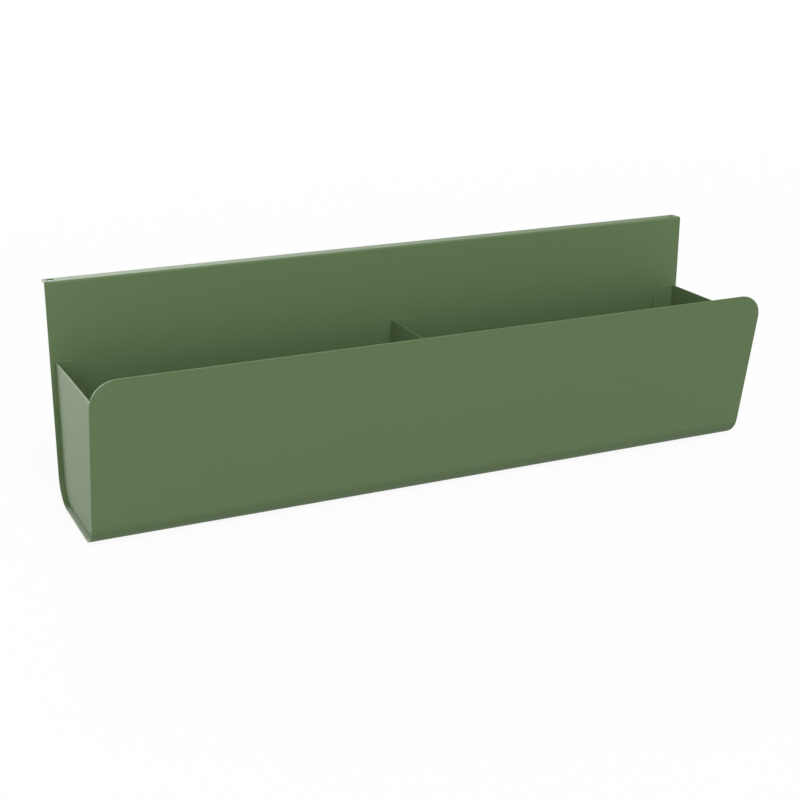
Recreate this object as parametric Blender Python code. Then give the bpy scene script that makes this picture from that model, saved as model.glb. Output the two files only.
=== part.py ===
"""A two-compartment planter folded from painted steel sheet.

One long blank is folded into the shell: a flange for fixing, the back, the floor and a front that
leans out. Three plates close it: two end caps and a divider, each with tabs folded along its back,
floor and front edges that lie flat on the shell.

Metres, +Z up. X runs along the trough, -Y is the front. The origin is under the middle of the
overall size, on the plane that the floor stands on.
"""

import math

import bmesh
import bpy
from mathutils import Matrix, Vector

# Shell
LENGTH = 0.680  # over the cut ends
BACK_HEIGHT = 0.210  # floor's underside to the flange's top
FRONT_HEIGHT = 0.160  # floor's underside to the front's upper edge
FLOOR_DEPTH = 0.118  # back's front face to where the floor and front would meet if the bend were sharp
FRONT_LEAN = math.radians(10.0)
SHEET = 0.0015
FLOOR_BEND_RADIUS = 0.025  # outside radius of the bends at both edges of the floor
BRAKE_RADIUS = 0.0025  # outside radius of the sharp bends, at the flange and the tabs
FRONT_CORNER_RADIUS = 0.025  # upper corners of the front

# Fixing flange
FLANGE_DEPTH = 0.014  # back's front face to the flange's rear edge
FLANGE_CORNER_RADIUS = 0.003
HOLE_DIAMETER = 0.007
HOLE_FROM_END = 0.007  # hole's centre to the shell's cut end
HOLE_FROM_EDGE = 0.0055  # hole's centre to the flange's rear edge

# End caps and divider
PLATE_HEIGHT = 0.136  # floor's underside to the plates' upper edge
CAP_MARGIN = 0.0045  # shell's cut ends to the caps' outer faces
TAB_WIDTH = 0.025  # plate's outer face to a tab's free edge
TAB_CORNER_RADIUS = 0.010
TAB_SETBACK = 0.005  # end of a floor bend to the nearest tab
RELIEF_WIDTH = 0.0015  # notch that lets a tab fold beside an edge that stays flat
RELIEF_DEPTH = 0.001  # how far a notch reaches past the fold line
RELIEF_RADIUS = 0.0007  # corners at a notch's bottom

# Fit and facets
GAP = 0.0003  # between pieces that touch
CHORD_ERROR = 0.00005  # most that a facet leaves its true arc
FLAT_ANGLE = math.radians(0.5)  # faces that turn less than this are one flat face
SHARP_ANGLE = math.radians(30)
SAME_POINT = 0.000015  # points nearer than this are one
ON_THE_LINE = 0.0000015  # points nearer than this to a fold line lie on it

# Where the shell's faces lie
DEPTH = FLOOR_DEPTH + FRONT_HEIGHT * math.tan(FRONT_LEAN) + FLANGE_DEPTH
BACK_Y = DEPTH / 2 - FLANGE_DEPTH  # front face of the back
CORNER_Y = BACK_Y - FLOOR_DEPTH
FRONT_BEND_ANGLE = math.pi / 2 - FRONT_LEAN
FRONT_TANGENT = FLOOR_BEND_RADIUS * math.tan(FRONT_BEND_ANGLE / 2)  # sharp corner to the bend's end
BACK_BEND_Y = BACK_Y + SHEET - FLOOR_BEND_RADIUS
FRONT_BEND_Y = CORNER_Y + FRONT_TANGENT
FRONT_UP = Vector((0, -math.sin(FRONT_LEAN), math.cos(FRONT_LEAN)))
FRONT_OUT = Vector((0, -math.cos(FRONT_LEAN), -math.sin(FRONT_LEAN)))

ALONG = Vector((1, 0, 0))
BACKWARD = Vector((0, 1, 0))
UP = Vector((0, 0, 1))

PAINT = (0.100, 0.154, 0.068, 1.0)
PAINT_ROUGHNESS = 0.45


def facets(radius, angle):
    """How many flat facets an arc needs to stay within the chord error."""
    return max(2, math.ceil(angle / (2 * math.acos(1 - CHORD_ERROR / radius))))


def rounded(corners):
    """Turns (u, v, radius) corners into outline points, with an arc in place of each corner."""
    points = []
    for i, (u, v, radius) in enumerate(corners):
        corner = Vector((u, v))
        before = (Vector(corners[i - 1][:2]) - corner).normalized()
        after = (Vector(corners[(i + 1) % len(corners)][:2]) - corner).normalized()
        if radius == 0:
            points.append(corner)
            continue
        half = before.angle(after) / 2
        centre = corner + (before + after).normalized() * radius / math.sin(half)
        start = corner + before * radius / math.tan(half) - centre
        turn = math.pi - 2 * half
        if before.cross(after) > 0:
            turn = -turn
        steps = facets(radius, abs(turn))
        points += [centre + Matrix.Rotation(turn * n / steps, 2) @ start for n in range(steps + 1)]
    return points


def circle(u, v, diameter):
    steps = facets(diameter / 2, 2 * math.pi)
    turns = [2 * math.pi * n / steps for n in range(steps)]
    return [Vector((u + diameter / 2 * math.cos(t), v + diameter / 2 * math.sin(t))) for t in turns]


def merge_flat_faces(sheet):
    bmesh.ops.dissolve_limit(
        sheet, angle_limit=FLAT_ANGLE, verts=sheet.verts, edges=sheet.edges
    )


def blank(name, loops, placed):
    """Cuts a flat sheet, one thickness high, from its outline and its holes."""
    curve = bpy.data.curves.new(name + "_outline", "CURVE")
    curve.dimensions = "2D"
    curve.fill_mode = "BOTH"
    curve.extrude = SHEET / 2
    for loop in loops:
        spline = curve.splines.new("POLY")
        spline.points.add(len(loop) - 1)
        spline.use_cyclic_u = True
        for point, (u, v) in zip(spline.points, loop):
            point.co = (u, v, 0, 1)
    outline = bpy.data.objects.new(name + "_outline", curve)
    bpy.context.scene.collection.objects.link(outline)
    bpy.context.view_layer.update()
    graph = bpy.context.evaluated_depsgraph_get()
    mesh = bpy.data.meshes.new_from_object(outline.evaluated_get(graph))
    bpy.data.objects.remove(outline)
    bpy.data.curves.remove(curve)
    sheet = bmesh.new()
    sheet.from_mesh(mesh)
    bpy.data.meshes.remove(mesh)
    bmesh.ops.remove_doubles(sheet, verts=sheet.verts, dist=SAME_POINT)
    bmesh.ops.transform(sheet, matrix=placed, verts=sheet.verts)
    sheet.normal_update()
    merge_flat_faces(sheet)
    return sheet


def fold(sheet, hinge, outward, toward, angle, radius, span=None):
    """Folds what lies beyond a line on the sheet's face, as a press brake does.

    hinge is a point where the bend starts, outward crosses the line within the sheet, and toward
    points from the face to the bend's centre. span gives a tab's ends along the line. The bend is
    made of flat facets, each as wide as the next.
    """
    line = outward.cross(toward)
    arc = radius * angle
    steps = facets(radius, angle)

    def beyond(point, distance):
        offset = point - hinge
        inside = span is None or span[0] < offset.dot(line) < span[1]
        return inside and offset.dot(outward) > distance

    for step in range(steps + 1):
        distance = arc * step / steps
        faces = [face for face in sheet.faces if any(beyond(v.co, distance) for v in face.verts)]
        edges = {edge for face in faces for edge in face.edges}
        verts = {vert for face in faces for vert in face.verts}
        bmesh.ops.bisect_plane(
            sheet,
            geom=faces + list(edges) + list(verts),
            dist=ON_THE_LINE,
            plane_co=hinge + outward * distance,
            plane_no=outward,
        )

    def across(step):
        turned = angle * step / steps
        return outward * math.sin(turned) - toward * math.cos(turned)

    centre = hinge + toward * radius
    onward = outward * math.cos(angle) + toward * math.sin(angle)
    for vert in sheet.verts:
        if not beyond(vert.co, 0):
            continue
        offset = vert.co - hinge
        distance = offset.dot(outward)
        progress = min(distance / arc, 1) * steps
        facet = min(int(progress), steps - 1)
        facing = across(facet).lerp(across(facet + 1), progress - facet)
        reach = (radius - offset.dot(toward)) * facing + max(distance - arc, 0) * onward
        vert.co = centre + line * offset.dot(line) + reach
    sheet.normal_update()


def finished(sheet, name):
    merge_flat_faces(sheet)
    bmesh.ops.recalc_face_normals(sheet, faces=sheet.faces)
    mesh = bpy.data.meshes.new(name)
    sheet.to_mesh(mesh)
    sheet.free()
    mesh.shade_smooth()
    mesh.set_sharp_from_angle(angle=SHARP_ANGLE)
    mesh.materials.append(None)
    return mesh


def paint(name):
    """Satin powder coat, which hides the metal under it."""
    material = bpy.data.materials.new(name)
    material.use_nodes = True
    surface = material.node_tree.nodes["Principled BSDF"]
    surface.inputs["Base Color"].default_value = PAINT
    surface.inputs["Roughness"].default_value = PAINT_ROUGHNESS
    surface.inputs["Metallic"].default_value = 0.0
    return material


def piece(name, mesh, collection, parent, location=(0, 0, 0)):
    made = bpy.data.objects.new(name, mesh)
    made.location = location
    made.parent = parent
    collection.objects.link(made)
    made.material_slots[0].link = "OBJECT"
    made.material_slots[0].material = paint(name + "_paint")
    return made


def shell_mesh():
    """The long sheet: flange, back, floor and front, with the floor left where it lies."""
    bend = FLOOR_BEND_RADIUS
    flange_line = BACK_BEND_Y + bend * math.pi / 2 + BACK_HEIGHT - BRAKE_RADIUS - bend
    flange_end = flange_line + BRAKE_RADIUS * math.pi / 2 + FLANGE_DEPTH - BRAKE_RADIUS
    front_flat = FRONT_HEIGHT / math.cos(FRONT_LEAN) - FRONT_TANGENT
    front_end = FRONT_BEND_Y - bend * FRONT_BEND_ANGLE - front_flat
    end = LENGTH / 2
    outline = rounded(
        [
            (-end, front_end, FRONT_CORNER_RADIUS),
            (end, front_end, FRONT_CORNER_RADIUS),
            (end, flange_end, FLANGE_CORNER_RADIUS),
            (-end, flange_end, FLANGE_CORNER_RADIUS),
        ]
    )
    hole_x = end - HOLE_FROM_END
    holes = [circle(x, flange_end - HOLE_FROM_EDGE, HOLE_DIAMETER) for x in (-hole_x, hole_x)]
    sheet = blank("shell", [outline, *holes], Matrix.Translation((0, 0, SHEET / 2)))
    fold(sheet, Vector((0, flange_line, SHEET)), BACKWARD, -UP, math.pi / 2, BRAKE_RADIUS)
    fold(sheet, Vector((0, BACK_BEND_Y, 0)), BACKWARD, UP, math.pi / 2, bend)
    fold(sheet, Vector((0, FRONT_BEND_Y, 0)), -BACKWARD, UP, FRONT_BEND_ANGLE, bend)
    return finished(sheet, "shell")


class Edge:
    """One edge of a plate: the line that its tab folds on, and the tab's two ends along it."""

    def __init__(self, start, along, outward, length, relieved_start, relieved_end):
        self.start = start
        self.along = along
        self.outward = outward
        self.length = length
        self.relieved_start = relieved_start
        self.relieved_end = relieved_end

    def corner(self, along, outward, radius=0):
        point = self.start + self.along * along + self.outward * outward
        return (point.y, point.z, radius)

    def relief(self, at, away):
        """A notch, listed from the flat edge to the tab."""
        end = at + away * RELIEF_WIDTH
        return [
            self.corner(end, BRAKE_RADIUS),
            self.corner(end, -RELIEF_DEPTH, RELIEF_RADIUS),
            self.corner(at, -RELIEF_DEPTH, RELIEF_RADIUS),
        ]

    def corners(self):
        reach = BRAKE_RADIUS * math.pi / 2 + TAB_WIDTH - BRAKE_RADIUS
        first = self.relief(0, -1) if self.relieved_start else [self.corner(0, 0)]
        last = self.relief(self.length, 1) if self.relieved_end else [self.corner(self.length, 0)]
        tab = [self.corner(at, reach, TAB_CORNER_RADIUS) for at in (0, self.length)]
        return first + tab + last[::-1]

    def fold_tab(self, sheet, side):
        toward = ALONG * side
        line = self.outward.cross(toward)
        ends = (0, self.length * self.along.dot(line))
        slack = RELIEF_WIDTH / 2
        span = (min(ends) - slack, max(ends) + slack)
        fold(sheet, self.start, self.outward, toward, math.pi / 2, BRAKE_RADIUS, span)


def plate_mesh(name, side):
    """An end cap or divider, with its outer face on x = 0 and its tabs folded to the given side."""
    edge_offset = GAP + BRAKE_RADIUS  # shell's inner face to a tab's fold line
    back_line = BACK_Y - edge_offset
    floor_line = SHEET + edge_offset
    corner = Vector((0, CORNER_Y, 0))
    front_start = corner - FRONT_OUT * (SHEET + edge_offset) + FRONT_UP * (FRONT_TANGENT + TAB_SETBACK)
    front_length = (PLATE_HEIGHT - front_start.z) / FRONT_UP.z
    back_length = PLATE_HEIGHT - FLOOR_BEND_RADIUS - TAB_SETBACK
    floor_start = BACK_BEND_Y - TAB_SETBACK
    floor_length = floor_start - FRONT_BEND_Y - TAB_SETBACK
    edges = [
        Edge(Vector((0, back_line, PLATE_HEIGHT)), -UP, BACKWARD, back_length, False, True),
        Edge(Vector((0, floor_start, floor_line)), -BACKWARD, -UP, floor_length, True, True),
        Edge(front_start, FRONT_UP, FRONT_OUT, front_length, True, False),
    ]
    bend = FLOOR_BEND_RADIUS - SHEET - GAP
    sharp = corner - FRONT_OUT * (SHEET + GAP)
    front_foot = sharp + FRONT_UP * (SHEET + GAP - sharp.z) / FRONT_UP.z
    back_foot = (BACK_Y - GAP, SHEET + GAP, bend)
    outline = edges[0].corners() + [back_foot] + edges[1].corners()
    outline += [(front_foot.y, front_foot.z, bend)] + edges[2].corners()
    to_plate = Matrix(((0, 0, 1), (1, 0, 0), (0, 1, 0))).to_4x4()
    placed = Matrix.Translation(ALONG * side * SHEET / 2) @ to_plate
    sheet = blank(name, [rounded(outline)], placed)
    for edge in edges:
        edge.fold_tab(sheet, side)
    return finished(sheet, name)


def clear_scene():
    for leftover in list(bpy.data.objects):
        bpy.data.objects.remove(leftover)


def build():
    clear_scene()
    collection = bpy.data.collections.new("two_compartment_planter")
    bpy.context.scene.collection.children.link(collection)
    planter = bpy.data.objects.new("planter", None)
    collection.objects.link(planter)
    piece("shell", shell_mesh(), collection, planter)
    cap_x = LENGTH / 2 - CAP_MARGIN
    plate = plate_mesh("plate_tabs_right", 1)
    piece("left_end_cap", plate, collection, planter, (-cap_x, 0, 0))
    piece("divider", plate, collection, planter, (-SHEET / 2, 0, 0))
    piece("right_end_cap", plate_mesh("plate_tabs_left", -1), collection, planter, (cap_x, 0, 0))
    bpy.context.view_layer.update()
    for made in collection.objects:
        if made.type == "MESH":
            print(made.name, [round(1000 * side, 1) for side in made.dimensions], "mm")


build()
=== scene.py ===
# %% [markdown]
# # A planter folded from painted steel sheet
#
# This long planter has two compartments. Like most sheet-metal goods it starts as flat blanks: a machine
# cuts the outline and the holes, a press brake folds the blank along straight lines, and the pieces are
# joined and painted together. One blank becomes the shell, with a flange along its back, and three small
# plates with folded tabs close its ends and divide it. The script follows that order: cut, fold, round the
# edges, paint, and light the studio.

import math

import bmesh
import bpy
from mathutils import Euler, Matrix, Vector


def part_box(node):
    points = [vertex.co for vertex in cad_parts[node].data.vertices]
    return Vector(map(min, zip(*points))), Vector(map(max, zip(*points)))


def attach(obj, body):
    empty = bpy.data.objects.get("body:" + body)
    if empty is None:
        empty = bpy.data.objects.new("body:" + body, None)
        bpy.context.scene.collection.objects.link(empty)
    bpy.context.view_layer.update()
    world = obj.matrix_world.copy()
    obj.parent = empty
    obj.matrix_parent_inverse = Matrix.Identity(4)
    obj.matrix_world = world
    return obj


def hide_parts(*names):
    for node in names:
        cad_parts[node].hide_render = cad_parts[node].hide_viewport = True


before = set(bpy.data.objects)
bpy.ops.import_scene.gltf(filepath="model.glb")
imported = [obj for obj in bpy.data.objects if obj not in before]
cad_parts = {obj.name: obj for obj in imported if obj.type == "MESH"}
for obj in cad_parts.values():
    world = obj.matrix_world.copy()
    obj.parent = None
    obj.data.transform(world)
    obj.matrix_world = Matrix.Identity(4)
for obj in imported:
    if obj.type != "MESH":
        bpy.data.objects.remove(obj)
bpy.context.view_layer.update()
print("nodes:", ", ".join(sorted(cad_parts)))

# %% [markdown]
# ## Sizes
#
# The CAD model says where every piece lies, so the outer sizes are read from it. What a box can't tell,
# such as the sheet's thickness and the radius of each bend, is named here once. Everything else is worked
# out from these.

# %% Name the sizes
SHEET = 0.0015
FLOOR_BEND_RADIUS = 0.025  # outside radius of the bends at both edges of the floor
BRAKE_RADIUS = 0.0018  # outside radius of the sharp bends, at the flange and the tabs
FRONT_LEAN = math.radians(10.0)
FRONT_HEIGHT = 0.160
FRONT_CORNER_RADIUS = 0.025
FLANGE_DEPTH = 0.014
FLANGE_CORNER_RADIUS = 0.003
HOLE_DIAMETER = 0.007
HOLE_FROM_END = 0.007
HOLE_FROM_EDGE = 0.0055
TAB_CORNER_RADIUS = 0.010
TAB_SETBACK = 0.005  # end of a floor bend to the nearest tab
RELIEF_WIDTH = 0.0015  # notch that lets a tab fold beside an edge that stays flat
RELIEF_DEPTH = 0.001  # how far a notch reaches past the fold line
RELIEF_RADIUS = 0.0007  # corners at a notch's bottom
GAP = 0.00015  # between a tab and the shell, where the coat closes the seam
FLAT_ANGLE = math.radians(0.5)  # faces that turn less than this are one flat face
SAME_POINT = 0.000015  # points nearer than this are one
ON_THE_LINE = 0.0000015  # points nearer than this to a fold line lie on it

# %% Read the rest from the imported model
ALONG = Vector((1, 0, 0))
BACKWARD = Vector((0, 1, 0))
UP = Vector((0, 0, 1))

shell_low, shell_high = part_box("shell")
plate_low, plate_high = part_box("divider")
HALF_LENGTH = shell_high.x
BACK_HEIGHT = shell_high.z
PLATE_HEIGHT = plate_high.z
TAB_WIDTH = plate_high.x - plate_low.x
BACK_Y = shell_high.y - FLANGE_DEPTH  # front face of the back
CORNER_Y = shell_low.y + FRONT_HEIGHT * math.tan(FRONT_LEAN)  # where floor and front would meet if sharp
FRONT_BEND_ANGLE = math.pi / 2 - FRONT_LEAN
FRONT_TANGENT = FLOOR_BEND_RADIUS * math.tan(FRONT_BEND_ANGLE / 2)
BACK_BEND_Y = BACK_Y + SHEET - FLOOR_BEND_RADIUS
FRONT_BEND_Y = CORNER_Y + FRONT_TANGENT
FRONT_UP = Vector((0, -math.sin(FRONT_LEAN), math.cos(FRONT_LEAN)))
FRONT_OUT = Vector((0, -math.cos(FRONT_LEAN), -math.sin(FRONT_LEAN)))
print("trough depth at the floor:", round(1000 * (BACK_Y - CORNER_Y), 1), "mm")

# %% [markdown]
# ## Node trees written as sums
#
# Both the folding and the paint are node trees. Wiring Math nodes by hand hides what they work out, so a
# Wire stands for one output of a node, and arithmetic on it adds the Math or Vector Math nodes. A Bench is
# a tree with one method that adds any other node.

# %% A wire and its arithmetic
class Wire:
    """One output of a node. Arithmetic on it adds the nodes that do it."""

    def __init__(self, bench, socket):
        self.bench = bench
        self.socket = socket

    def __add__(self, other):
        return self.bench.maths("ADD", self, other)

    def __radd__(self, other):
        return self.bench.maths("ADD", other, self)

    def __sub__(self, other):
        return self.bench.maths("SUBTRACT", self, other)

    def __rsub__(self, other):
        return self.bench.maths("SUBTRACT", other, self)

    def __mul__(self, other):
        if is_vector(self) and not is_vector(other):
            return self.bench.scaled(self, other)
        return self.bench.maths("MULTIPLY", self, other)

    def __rmul__(self, other):
        return self * other

    def __truediv__(self, other):
        return self.bench.maths("DIVIDE", self, other)

    def dot(self, other):
        return self.bench.maths("DOT_PRODUCT", self, other)

    def least(self, other):
        return self.bench.maths("MINIMUM", self, other)

    def most(self, other):
        return self.bench.maths("MAXIMUM", self, other)

    def sine(self):
        return self.bench.maths("SINE", self)

    def cosine(self):
        return self.bench.maths("COSINE", self)


def is_vector(value):
    if isinstance(value, Wire):
        return value.socket.type == "VECTOR"
    return isinstance(value, (Vector, tuple))


# %% A bench that adds nodes to a tree
class Bench:
    """A node tree, with one method that adds any node to it."""

    def __init__(self, tree):
        self.tree = tree

    def node(self, kind, settings=None, sockets=None):
        """Adds a node: its settings first, then the values or wires of its sockets."""
        made = self.tree.nodes.new(kind)
        for name, value in (settings or {}).items():
            setattr(made, name, value)
        for name, value in (sockets or {}).items():
            if isinstance(value, Wire):
                self.tree.links.new(value.socket, made.inputs[name])
            else:
                made.inputs[name].default_value = value
        return made

    def wire(self, output, kind, settings=None, sockets=None):
        """Adds a node and gives the wire from the output of that name."""
        return Wire(self, self.node(kind, settings, sockets).outputs[output])

    def maths(self, operation, *values):
        if not any(is_vector(value) for value in values):
            return self.wire("Value", "ShaderNodeMath", {"operation": operation}, dict(enumerate(values)))
        output = "Value" if operation == "DOT_PRODUCT" else "Vector"
        return self.wire(output, "ShaderNodeVectorMath", {"operation": operation}, dict(enumerate(values)))

    def scaled(self, vector, amount):
        sockets = {0: vector, "Scale": amount}
        return self.wire("Vector", "ShaderNodeVectorMath", {"operation": "SCALE"}, sockets)


# %% [markdown]
# ## The fold
#
# A press brake bends a sheet along a line. What lies past the line wraps round an arc and then runs
# straight on. That is a rule about positions, so Geometry Nodes can do it: one group moves every point of a
# flat blank to where the brake would leave it. The group is used for each fold of the shell, and once for
# all the tabs of a plate, with a hinge that differs from tab to tab.

# %% The press brake as a node group
def new_group(name, inputs):
    """An empty geometry group with named inputs. The bench and a wire from each input come back."""
    tree = bpy.data.node_groups.new(name, "GeometryNodeTree")
    tree.interface.new_socket("Geometry", in_out="INPUT", socket_type="NodeSocketGeometry")
    for label, kind in inputs.items():
        tree.interface.new_socket(label, in_out="INPUT", socket_type="NodeSocket" + kind)
    tree.interface.new_socket("Geometry", in_out="OUTPUT", socket_type="NodeSocketGeometry")
    bench = Bench(tree)
    entry = bench.node("NodeGroupInput")
    return bench, {label: Wire(bench, entry.outputs[label]) for label in ("Geometry", *inputs)}


def press_brake():
    """Folds what lies past a hinge, towards a direction, round an arc of a radius."""
    inputs = {
        "Selection": "Bool",
        "Hinge": "Vector",
        "Outward": "Vector",
        "Toward": "Vector",
        "Angle": "Float",
        "Radius": "Float",
    }
    bench, given = new_group("press_brake", inputs)
    outward, toward, radius = given["Outward"], given["Toward"], given["Radius"]
    offset = bench.wire("Position", "GeometryNodeInputPosition") - given["Hinge"]
    past = offset.dot(outward)
    height = offset.dot(toward)
    arc = given["Angle"] * radius
    turned = past.most(0.0).least(arc) / radius
    facing = outward * turned.sine() - toward * turned.cosine()
    onward = outward * given["Angle"].cosine() + toward * given["Angle"].sine()
    beside = offset - outward * past.most(0.0) - toward * height
    folded = given["Hinge"] + beside + toward * radius + facing * (radius - height)
    folded = folded + onward * (past - arc).most(0.0)
    sockets = {"Geometry": given["Geometry"], "Selection": given["Selection"], "Position": folded}
    moved = bench.wire("Geometry", "GeometryNodeSetPosition", {}, sockets)
    bench.node("NodeGroupOutput", {}, {"Geometry": moved})
    return bench.tree


BRAKE = press_brake()
print("press brake:", len(BRAKE.nodes), "nodes")

# %% [markdown]
# ## The blanks
#
# A blank is a flat outline with rounded corners. A filled 2D curve makes its faces, holes included, and the
# curve's extrusion gives it the sheet's thickness. The fold can only bend where there are points, so the
# blank is scored with rows of edges where each bend will be. Edit mode's Bisect tool does that, here
# through bmesh.

# %% Outlines
STEP_ANGLE = math.radians(4)  # turn of one facet of a bend, small enough to shade as a smooth curve
OUTLINE_STEP = 2 * STEP_ANGLE  # the same for a rounded corner or a hole in a blank's outline


def rounded(corners):
    """Turns (u, v, radius) corners into outline points, with an arc in place of each corner."""
    points = []
    for i, (u, v, radius) in enumerate(corners):
        corner = Vector((u, v))
        if radius == 0:
            points.append(corner)
            continue
        before = (Vector(corners[i - 1][:2]) - corner).normalized()
        after = (Vector(corners[(i + 1) % len(corners)][:2]) - corner).normalized()
        half = before.angle(after) / 2
        centre = corner + (before + after).normalized() * radius / math.sin(half)
        start = corner + before * radius / math.tan(half) - centre
        turn = math.copysign(math.pi - 2 * half, -before.cross(after))
        steps = math.ceil(abs(turn) / OUTLINE_STEP)
        points += [centre + Matrix.Rotation(turn * n / steps, 2) @ start for n in range(steps + 1)]
    return points


def circle(u, v, diameter):
    steps = round(2 * math.pi / OUTLINE_STEP)
    turns = [2 * math.pi * n / steps for n in range(steps)]
    return [Vector((u + diameter / 2 * math.cos(t), v + diameter / 2 * math.sin(t))) for t in turns]


# %% Cut a blank
def blank(name, loops, placed):
    """Cuts a flat sheet, one thickness high, from its outline and its holes."""
    curve = bpy.data.curves.new(name, "CURVE")
    curve.dimensions = "2D"
    curve.fill_mode = "BOTH"
    curve.extrude = SHEET / 2
    for loop in loops:
        spline = curve.splines.new("POLY")
        spline.points.add(len(loop) - 1)
        spline.use_cyclic_u = True
        for point, (u, v) in zip(spline.points, loop):
            point.co = (u, v, 0, 1)
    outline = bpy.data.objects.new(name, curve)
    bpy.context.scene.collection.objects.link(outline)
    graph = bpy.context.evaluated_depsgraph_get()
    mesh = bpy.data.meshes.new_from_object(outline.evaluated_get(graph))
    bpy.data.objects.remove(outline)
    sheet = bmesh.new()
    sheet.from_mesh(mesh)
    bpy.data.meshes.remove(mesh)
    bmesh.ops.remove_doubles(sheet, verts=sheet.verts, dist=SAME_POINT)
    bmesh.ops.transform(sheet, matrix=placed, verts=sheet.verts)
    sheet.normal_update()
    merge_flat_faces(sheet)
    return sheet


def merge_flat_faces(sheet):
    bmesh.ops.dissolve_limit(sheet, angle_limit=FLAT_ANGLE, verts=sheet.verts, edges=sheet.edges)


# %% Score a blank
def score(sheet, hinge, outward, angle, radius):
    """Cuts rows of edges across a blank where a bend will be, one row for each facet."""
    steps = math.ceil(angle / STEP_ANGLE)
    for step in range(steps + 1):
        bmesh.ops.bisect_plane(
            sheet,
            geom=sheet.verts[:] + sheet.edges[:] + sheet.faces[:],
            dist=ON_THE_LINE,
            plane_co=hinge + outward * radius * angle * step / steps,
            plane_no=outward,
        )


def as_object(sheet, name):
    mesh = bpy.data.meshes.new(name)
    sheet.to_mesh(mesh)
    sheet.free()
    mesh.shade_smooth()
    made = bpy.data.objects.new(name, mesh)
    bpy.context.scene.collection.objects.link(made)
    return made


# %% [markdown]
# ## The paint
#
# The real planter has a dull satin powder coat: dry paint is sprayed on as powder and melted in an oven, so
# it has no brush marks, but a very fine pebbled surface that softens its highlights. The colour is an even
# olive green. Noise on Object coordinates gives the pebbles one real size on every piece. A coarse noise
# for the slight flow of the melted paint and a fine one for its grain drive the bump. Both also move the
# colour a little between two olives, and the grain moves the roughness.

# %% Powder coat
OLIVE = (0.094, 0.147, 0.0623, 1.0)
OLIVE_LIGHT = (0.102, 0.159, 0.0675, 1.0)
COAT_ROUGHNESS = 0.64
COAT_ROUGHNESS_SWING = 0.06  # how much the grain moves it
COAT_SHINE = 0.3  # the shader's specular level
FLOW_SIZE = 0.0025
FLOW_HEIGHT = 0.00001
FLOW_DETAIL = 1.0
FLOW_SHARE = 0.4  # its share in the colour, where the grain has the rest
GRAIN_SIZE = 0.0004
GRAIN_HEIGHT = 0.000004
GRAIN_DETAIL = 2.0
MIX_FACTOR, MIX_A, MIX_B, MIX_RESULT = 0, 6, 7, 2  # the sockets that a Mix node uses for colours


def powder_coat(name):
    material = bpy.data.materials.new(name)
    material.use_nodes = True
    bench = Bench(material.node_tree)
    surface = material.node_tree.nodes["Principled BSDF"]
    place = bench.wire("Object", "ShaderNodeTexCoord")
    sockets = {"Vector": place, "Scale": 1 / FLOW_SIZE, "Detail": FLOW_DETAIL}
    flow = bench.wire("Fac", "ShaderNodeTexNoise", {}, sockets)
    sockets = {"Vector": place, "Scale": 1 / GRAIN_SIZE, "Detail": GRAIN_DETAIL}
    grain = bench.wire("Fac", "ShaderNodeTexNoise", {}, sockets)
    shade = flow * FLOW_SHARE + grain * (1 - FLOW_SHARE)
    colours = {MIX_FACTOR: shade, MIX_A: OLIVE, MIX_B: OLIVE_LIGHT}
    colour = bench.wire(MIX_RESULT, "ShaderNodeMix", {"data_type": "RGBA"}, colours)
    bench.tree.links.new(colour.socket, surface.inputs["Base Color"])
    roughness = COAT_ROUGHNESS + (grain - 0.5) * COAT_ROUGHNESS_SWING
    bench.tree.links.new(roughness.socket, surface.inputs["Roughness"])
    height = flow * (FLOW_HEIGHT / GRAIN_HEIGHT) + grain
    bump = bench.wire("Normal", "ShaderNodeBump", {}, {"Height": height, "Distance": GRAIN_HEIGHT})
    bench.tree.links.new(bump.socket, surface.inputs["Normal"])
    surface.inputs["Metallic"].default_value = 0.0
    surface.inputs["Specular IOR Level"].default_value = COAT_SHINE
    return material


SHELL_PAINT = powder_coat("shell_paint")
PLATE_PAINT = powder_coat("plate_paint")

# %% [markdown]
# ## Folding and finishing
#
# A modifier folds the blank. Its tree ends in Realize Instances and Set Material, which turns what it made
# into plain faces with the paint on them. A Bevel then rounds the cut edges by a third of a millimetre, as
# a coat of paint does, and Weighted Normal keeps the large flat faces flat where they run into a bend. The
# result is stored as a plain mesh, and the modifiers go.

# %% Fold and finish a piece
COAT_EDGE = 0.00035  # how far the paint rounds a cut edge
COAT_EDGE_FACETS = 3
CUT_EDGE_ANGLE = math.radians(40)  # an edge that turns more than this was cut, and not folded


def set_input(modifier, label, value):
    """Sets a tree's named input on its modifier, through the socket's identifier."""
    sockets = modifier.node_group.interface.items_tree
    socket = next(s for s in sockets if s.name == label and s.in_out == "INPUT")
    modifier[socket.identifier] = value


def finish_piece(made, tree, values):
    folding = made.modifiers.new("folding", "NODES")
    folding.node_group = tree
    for label, value in values.items():
        set_input(folding, label, value)
    edges = made.modifiers.new("edges", "BEVEL")
    edges.width = COAT_EDGE
    edges.segments = COAT_EDGE_FACETS
    edges.limit_method = "ANGLE"
    edges.angle_limit = CUT_EDGE_ANGLE
    edges.use_clamp_overlap = False
    shading = made.modifiers.new("shading", "WEIGHTED_NORMAL")
    shading.keep_sharp = True
    graph = bpy.context.evaluated_depsgraph_get()
    mesh = bpy.data.meshes.new_from_object(made.evaluated_get(graph))
    made.modifiers.clear()
    made.data = mesh
    faces = len(mesh.polygons)
    print(made.name, faces, "faces,", [round(1000 * side, 1) for side in made.dimensions], "mm")
    return made


# %% [markdown]
# ## The shell
#
# The largest piece: flange, back, floor and front in one sheet, with two screw holes in the flange. Its
# blank lies in the plane of the floor, which stays where it is while three folds lift the rest. The flange
# is folded first and away from the trough, then the back and the front round wide bends.

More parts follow.
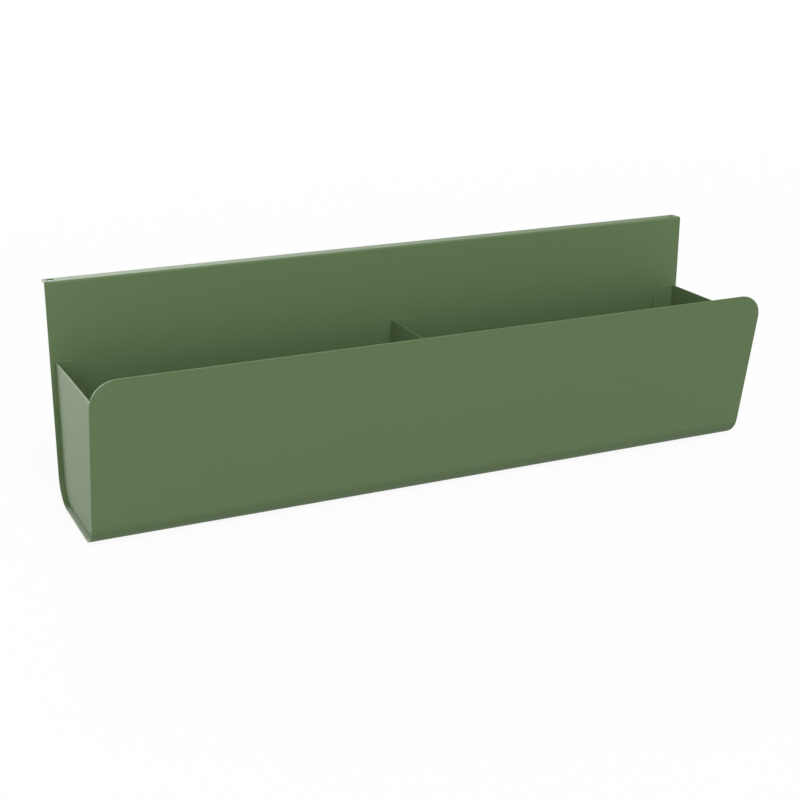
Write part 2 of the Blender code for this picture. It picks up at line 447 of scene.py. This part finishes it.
# %% The shell's tree
def shell_tree():
    inputs = {
        "Flange Line": "Vector",
        "Back Line": "Vector",
        "Front Line": "Vector",
        "Flange Bend Radius": "Float",
        "Floor Bend Radius": "Float",
        "Front Bend Angle": "Float",
        "Paint": "Material",
    }
    bench, given = new_group("folded_shell", inputs)
    sheet = given["Geometry"]
    folds = [
        (given["Flange Line"], BACKWARD, -UP, math.pi / 2, given["Flange Bend Radius"]),
        (given["Back Line"], BACKWARD, UP, math.pi / 2, given["Floor Bend Radius"]),
        (given["Front Line"], -BACKWARD, UP, given["Front Bend Angle"], given["Floor Bend Radius"]),
    ]
    for hinge, outward, toward, angle, radius in folds:
        sockets = {
            "Geometry": sheet,
            "Selection": True,
            "Hinge": hinge,
            "Outward": outward,
            "Toward": toward,
            "Angle": angle,
            "Radius": radius,
        }
        sheet = bench.wire("Geometry", "GeometryNodeGroup", {"node_tree": BRAKE}, sockets)
    sheet = bench.wire("Geometry", "GeometryNodeRealizeInstances", {}, {"Geometry": sheet})
    painted = bench.wire(
        "Geometry", "GeometryNodeSetMaterial", {}, {"Geometry": sheet, "Material": given["Paint"]}
    )
    bench.node("NodeGroupOutput", {}, {"Geometry": painted})
    return bench.tree


# %% Cut and fold the shell
back_flat = BACK_HEIGHT - BRAKE_RADIUS - FLOOR_BEND_RADIUS
flange_y = BACK_BEND_Y + FLOOR_BEND_RADIUS * math.pi / 2 + back_flat
flange_end = flange_y + BRAKE_RADIUS * math.pi / 2 + FLANGE_DEPTH - BRAKE_RADIUS
front_flat = FRONT_HEIGHT / math.cos(FRONT_LEAN) - FRONT_TANGENT
front_end = FRONT_BEND_Y - FLOOR_BEND_RADIUS * FRONT_BEND_ANGLE - front_flat

shell_outline = rounded(
    [
        (-HALF_LENGTH, front_end, FRONT_CORNER_RADIUS),
        (HALF_LENGTH, front_end, FRONT_CORNER_RADIUS),
        (HALF_LENGTH, flange_end, FLANGE_CORNER_RADIUS),
        (-HALF_LENGTH, flange_end, FLANGE_CORNER_RADIUS),
    ]
)
hole_x = HALF_LENGTH - HOLE_FROM_END
screw_holes = [circle(x, flange_end - HOLE_FROM_EDGE, HOLE_DIAMETER) for x in (-hole_x, hole_x)]
shell_blank = blank("shell_blank", [shell_outline, *screw_holes], Matrix.Translation(UP * SHEET / 2))

flange_line = BACKWARD * flange_y + UP * SHEET
back_line = BACKWARD * BACK_BEND_Y
front_line = BACKWARD * FRONT_BEND_Y
score(shell_blank, flange_line, BACKWARD, math.pi / 2, BRAKE_RADIUS)
score(shell_blank, back_line, BACKWARD, math.pi / 2, FLOOR_BEND_RADIUS)
score(shell_blank, front_line, -BACKWARD, FRONT_BEND_ANGLE, FLOOR_BEND_RADIUS)

shell = finish_piece(
    as_object(shell_blank, "painted_shell"),
    shell_tree(),
    {
        "Flange Line": flange_line,
        "Back Line": back_line,
        "Front Line": front_line,
        "Flange Bend Radius": BRAKE_RADIUS,
        "Floor Bend Radius": FLOOR_BEND_RADIUS,
        "Front Bend Angle": FRONT_BEND_ANGLE,
        "Paint": SHELL_PAINT,
    },
)

# %% [markdown]
# ## The plates
#
# The end caps and the divider are the same plate. Its outline follows the trough just inside the shell, and
# a tab stands out along its back, floor and front edges. Small notches beside the tabs keep the sheet from
# tearing when it is folded. The blank stands where the plate will stand, and each point of a tab stores its
# own hinge and direction as attributes, so that one run of the press brake folds all three.

# %% A plate's edges
class Edge:
    """One edge of a plate: the line that its tab folds on, and the tab's two ends along it."""

    def __init__(self, start, along, outward, length, relieved_start, relieved_end):
        self.start = start
        self.along = along
        self.outward = outward
        self.length = length
        self.relieved_start = relieved_start
        self.relieved_end = relieved_end

    def corner(self, along, outward, radius=0):
        point = self.start + self.along * along + self.outward * outward
        return (point.y, point.z, radius)

    def relief(self, at, away):
        """A notch, listed from the flat edge to the tab."""
        end = at + away * RELIEF_WIDTH
        return [
            self.corner(end, BRAKE_RADIUS),
            self.corner(end, -RELIEF_DEPTH, RELIEF_RADIUS),
            self.corner(at, -RELIEF_DEPTH, RELIEF_RADIUS),
        ]

    def corners(self):
        reach = BRAKE_RADIUS * math.pi / 2 + TAB_WIDTH - BRAKE_RADIUS
        first = self.relief(0, -1) if self.relieved_start else [self.corner(0, 0)]
        last = self.relief(self.length, 1) if self.relieved_end else [self.corner(self.length, 0)]
        tab = [self.corner(at, reach, TAB_CORNER_RADIUS) for at in (0, self.length)]
        return first + tab + last[::-1]

    def holds(self, point):
        """Whether a point of the blank is past the fold line and between the tab's ends."""
        offset = point - self.start
        past = offset.dot(self.outward) > ON_THE_LINE
        slack = RELIEF_WIDTH / 2
        return past and -slack < offset.dot(self.along) < self.length + slack


# %% The outline of a plate
to_fold = GAP + BRAKE_RADIUS  # shell's inner face to a tab's fold line
corner = Vector((0, CORNER_Y, 0))
front_start = corner - FRONT_OUT * (SHEET + to_fold) + FRONT_UP * (FRONT_TANGENT + TAB_SETBACK)
front_length = (PLATE_HEIGHT - front_start.z) / FRONT_UP.z
floor_start = BACK_BEND_Y - TAB_SETBACK
floor_length = floor_start - FRONT_BEND_Y - TAB_SETBACK
back_length = PLATE_HEIGHT - FLOOR_BEND_RADIUS - TAB_SETBACK
EDGES = [
    Edge(Vector((0, BACK_Y - to_fold, PLATE_HEIGHT)), -UP, BACKWARD, back_length, False, True),
    Edge(Vector((0, floor_start, SHEET + to_fold)), -BACKWARD, -UP, floor_length, True, True),
    Edge(front_start, FRONT_UP, FRONT_OUT, front_length, True, False),
]

foot_radius = FLOOR_BEND_RADIUS - SHEET - GAP
sharp = corner - FRONT_OUT * (SHEET + GAP)
front_foot = sharp + FRONT_UP * (SHEET + GAP - sharp.z) / FRONT_UP.z
plate_corners = [
    *EDGES[0].corners(),
    (BACK_Y - GAP, SHEET + GAP, foot_radius),
    *EDGES[1].corners(),
    (front_foot.y, front_foot.z, foot_radius),
    *EDGES[2].corners(),
]
print("tabs:", [round(1000 * edge.length, 1) for edge in EDGES], "mm long")


# %% The plate's tree
def plate_tree():
    inputs = {"Side": "Vector", "Place": "Vector", "Bend Radius": "Float", "Paint": "Material"}
    bench, given = new_group("folded_plate", inputs)

    def stored(kind, name):
        settings = {"data_type": kind}
        return bench.wire("Attribute", "GeometryNodeInputNamedAttribute", settings, {"Name": name})

    sockets = {
        "Geometry": given["Geometry"],
        "Selection": stored("BOOLEAN", "in_tab"),
        "Hinge": stored("FLOAT_VECTOR", "hinge"),
        "Outward": stored("FLOAT_VECTOR", "outward"),
        "Toward": given["Side"],
        "Angle": math.pi / 2,
        "Radius": given["Bend Radius"],
    }
    plate = bench.wire("Geometry", "GeometryNodeGroup", {"node_tree": BRAKE}, sockets)
    sockets = {"Geometry": plate, "Offset": given["Place"]}
    plate = bench.wire("Geometry", "GeometryNodeSetPosition", {}, sockets)
    plate = bench.wire("Geometry", "GeometryNodeRealizeInstances", {}, {"Geometry": plate})
    painted = bench.wire(
        "Geometry", "GeometryNodeSetMaterial", {}, {"Geometry": plate, "Material": given["Paint"]}
    )
    bench.node("NodeGroupOutput", {}, {"Geometry": painted})
    return bench.tree


PLATE_TREE = plate_tree()


# %% Cut and fold the plates
def plate_blank(name, side):
    """A flat plate standing on edge, with its outer face on x = 0 and its sheet on the tabs' side."""
    to_plate = Matrix(((0, 0, 1), (1, 0, 0), (0, 1, 0))).to_4x4()
    sheet = blank(name, [rounded(plate_corners)], Matrix.Translation(ALONG * side * SHEET / 2) @ to_plate)
    for edge in EDGES:
        score(sheet, edge.start, edge.outward, math.pi / 2, BRAKE_RADIUS)
    made = as_object(sheet, name)
    hinge = made.data.attributes.new("hinge", "FLOAT_VECTOR", "POINT")
    outward = made.data.attributes.new("outward", "FLOAT_VECTOR", "POINT")
    in_tab = made.data.attributes.new("in_tab", "BOOLEAN", "POINT")
    for i, vertex in enumerate(made.data.vertices):
        for edge in EDGES:
            if edge.holds(vertex.co):
                hinge.data[i].vector = edge.start
                outward.data[i].vector = edge.outward
                in_tab.data[i].value = True
    return made


def plate(name, side, outer_x):
    values = {
        "Side": ALONG * side,
        "Place": ALONG * outer_x,
        "Bend Radius": BRAKE_RADIUS,
        "Paint": PLATE_PAINT,
    }
    return finish_piece(plate_blank(name, side), PLATE_TREE, values)


plates = {
    "left_end_cap": plate("painted_left_end_cap", 1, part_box("left_end_cap")[0].x),
    "divider": plate("painted_divider", 1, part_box("divider")[0].x),
    "right_end_cap": plate("painted_right_end_cap", -1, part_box("right_end_cap")[1].x),
}

# %% [markdown]
# ## The pieces in the frame
#
# Each finished piece stands for its CAD node, which is then hidden but still used for collisions. The
# planter has no joints, so everything rides on its one body.

# %% Stand in for the CAD nodes
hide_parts("shell")
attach(shell, "root")
for node, piece in plates.items():
    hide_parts(node)
    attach(piece, "root")

# %% [markdown]
# ## The studio
#
# A pale floor, a white surround and large soft lamps on all sides, as for a catalogue picture. Camera and
# mirror rays see the surround as white and the floor as nearly white, with the planter's faint shadow on
# it. Further out the floor fades to the same white, so that no horizon shows. The lamps and what the floor
# throws back are kept at a plain level, so that the paint looks as it would in daylight. Two more lamps,
# behind the planter, show only in the coat's shine. They give the flange and the left end cap their pale
# sheen and leave the colour of the back alone.

# %% The surround
WHITE = (1, 1, 1, 1)
SURROUND_LIGHT = 0.05


def seen_ray(bench):
    """1 for rays of the camera and for mirrored and refracted ones, and 0 for the rest."""
    paths = bench.node("ShaderNodeLightPath")
    names = ("Is Camera Ray", "Is Glossy Ray", "Is Transmission Ray")
    camera, glossy, refracted = [Wire(bench, paths.outputs[name]) for name in names]
    return camera.most(glossy).most(refracted)


world = bpy.data.worlds.new("surround")
world.use_nodes = True
bpy.context.scene.world = world
bench = Bench(world.node_tree)
seen = seen_ray(bench)
background = world.node_tree.nodes["Background"]
background.inputs["Color"].default_value = WHITE
bench.tree.links.new((SURROUND_LIGHT + seen * (1 - SURROUND_LIGHT)).socket, background.inputs["Strength"])

# %% The floor
FLOOR_RADIUS = 14.0
FLOOR_SIDES = 96
FLOOR_DROP = 0.0002  # how far it lies below the planter, so that their faces don't coincide
FLOOR_PALE = 0.95  # how pale the camera sees the floor
FLOOR_BOUNCE = 0.5  # share of the light that it throws back at the planter
FLOOR_GLOW = 0.92  # share of plain white in what the camera sees, which leaves a faint shadow
FADE_START = 0.6  # how far from the planter's middle the floor starts to fade to plain white
FADE_END = 3.0

floor_mesh = bpy.data.meshes.new("floor")
floor = bpy.data.objects.new("floor", floor_mesh)
bpy.context.scene.collection.objects.link(floor)
disc = bmesh.new()
bmesh.ops.create_circle(disc, cap_ends=True, segments=FLOOR_SIDES, radius=FLOOR_RADIUS)
bmesh.ops.translate(disc, verts=disc.verts, vec=-UP * FLOOR_DROP)
disc.to_mesh(floor_mesh)
disc.free()

floor_paint = bpy.data.materials.new("floor_paint")
floor_paint.use_nodes = True
bench = Bench(floor_paint.node_tree)
bench.tree.nodes.clear()
seen = seen_ray(bench)
shade = FLOOR_BOUNCE + seen * (FLOOR_PALE - FLOOR_BOUNCE)
matt = bench.wire("BSDF", "ShaderNodeBsdfDiffuse", {}, {"Color": shade})
glow = bench.wire("Emission", "ShaderNodeEmission", {}, {"Color": WHITE, "Strength": 1.0})
place = bench.wire("Object", "ShaderNodeTexCoord")
distance = bench.wire("Value", "ShaderNodeVectorMath", {"operation": "LENGTH"}, {0: place})
fade = ((distance - FADE_START) / (FADE_END - FADE_START)).most(0.0).least(1.0)
share = seen * (FLOOR_GLOW + fade * (1 - FLOOR_GLOW))
mixed = bench.wire("Shader", "ShaderNodeMixShader", {}, {0: share, 1: matt, 2: glow})
bench.node("ShaderNodeOutputMaterial", {}, {"Surface": mixed})
floor_mesh.materials.append(floor_paint)

# %% The lamps
LAMP_DISTANCE = 6.0
LAMP_WIDTH = 2.4
LAMP_AIM = UP * 0.1  # about the middle of the planter's height

# Each lamp's degrees round from the front towards the left end, its degrees above the floor, and its watts.
LAMPS = {
    "low_front_lamp": (0, 5, 95),
    "high_front_lamp": (0, 45, 145),
    "top_front_lamp": (0, 60, 80),
    "front_left_lamp": (30, 20, 90),
    "left_lamp": (90, 12, 120),
    "back_left_lamp": (150, 12, 50),
    "high_back_left_lamp": (165, 20, 90),
    "back_lamp": (180, 20, 50),
    "back_right_lamp": (-165, 20, 80),
    "right_lamp": (-90, 12, 100),
}

# The same for the lamps that show only in the coat's shine.
SHINE_LAMPS = {
    "left_shine": (150, 12, 490),
    "back_shine": (165, 20, 460),
}


def softbox(name, around, above, power):
    """A square lamp, set round the planter at one distance and turned to face it."""
    light = bpy.data.lights.new(name, "AREA")
    light.shape = "SQUARE"
    light.size = LAMP_WIDTH
    light.energy = power
    lamp = bpy.data.objects.new(name, light)
    toward = Euler((math.radians(-above), 0, math.radians(-around))).to_matrix() @ -BACKWARD
    lamp.location = LAMP_AIM + toward * LAMP_DISTANCE
    lamp.rotation_euler = toward.to_track_quat("Z", "Y").to_euler()
    lamp.visible_camera = False
    bpy.context.scene.collection.objects.link(lamp)
    return lamp


for name, (around, above, power) in {**LAMPS, **SHINE_LAMPS}.items():
    lamp = softbox(name, around, above, power)
    lamp.visible_diffuse = name not in SHINE_LAMPS
    print(name, [round(x, 2) for x in lamp.location])

# %% [markdown]
# ## The camera
#
# It stands in front of the planter's left end and looks a little down, with a long lens, so that the far
# end hardly shrinks. Its place was found by matching the straight edges of the trough.

# %% Place the camera
CAMERA_PLACE = (-0.6009, -1.2338, 0.5429)
CAMERA_TURNS = (71.06, -0.178, -25.083)  # degrees about X, Y and Z
LENS = 67.25  # focal length in mm, for the sensor width below
SENSOR_WIDTH = 36

camera = bpy.data.objects.new("camera", bpy.data.cameras.new("camera"))
camera.location = CAMERA_PLACE
camera.rotation_euler = [math.radians(turn) for turn in CAMERA_TURNS]
camera.data.lens = LENS
camera.data.sensor_width = SENSOR_WIDTH
bpy.context.scene.collection.objects.link(camera)
bpy.context.scene.camera = camera
bpy.context.scene.view_settings.view_transform = "Standard"

# %% [markdown]
# ## Finish
#
# The painted planter is as large as the CAD model, since its sizes were read from it. Last, the view layer
# is brought up to date.

# %% Finish
bpy.context.view_layer.update()
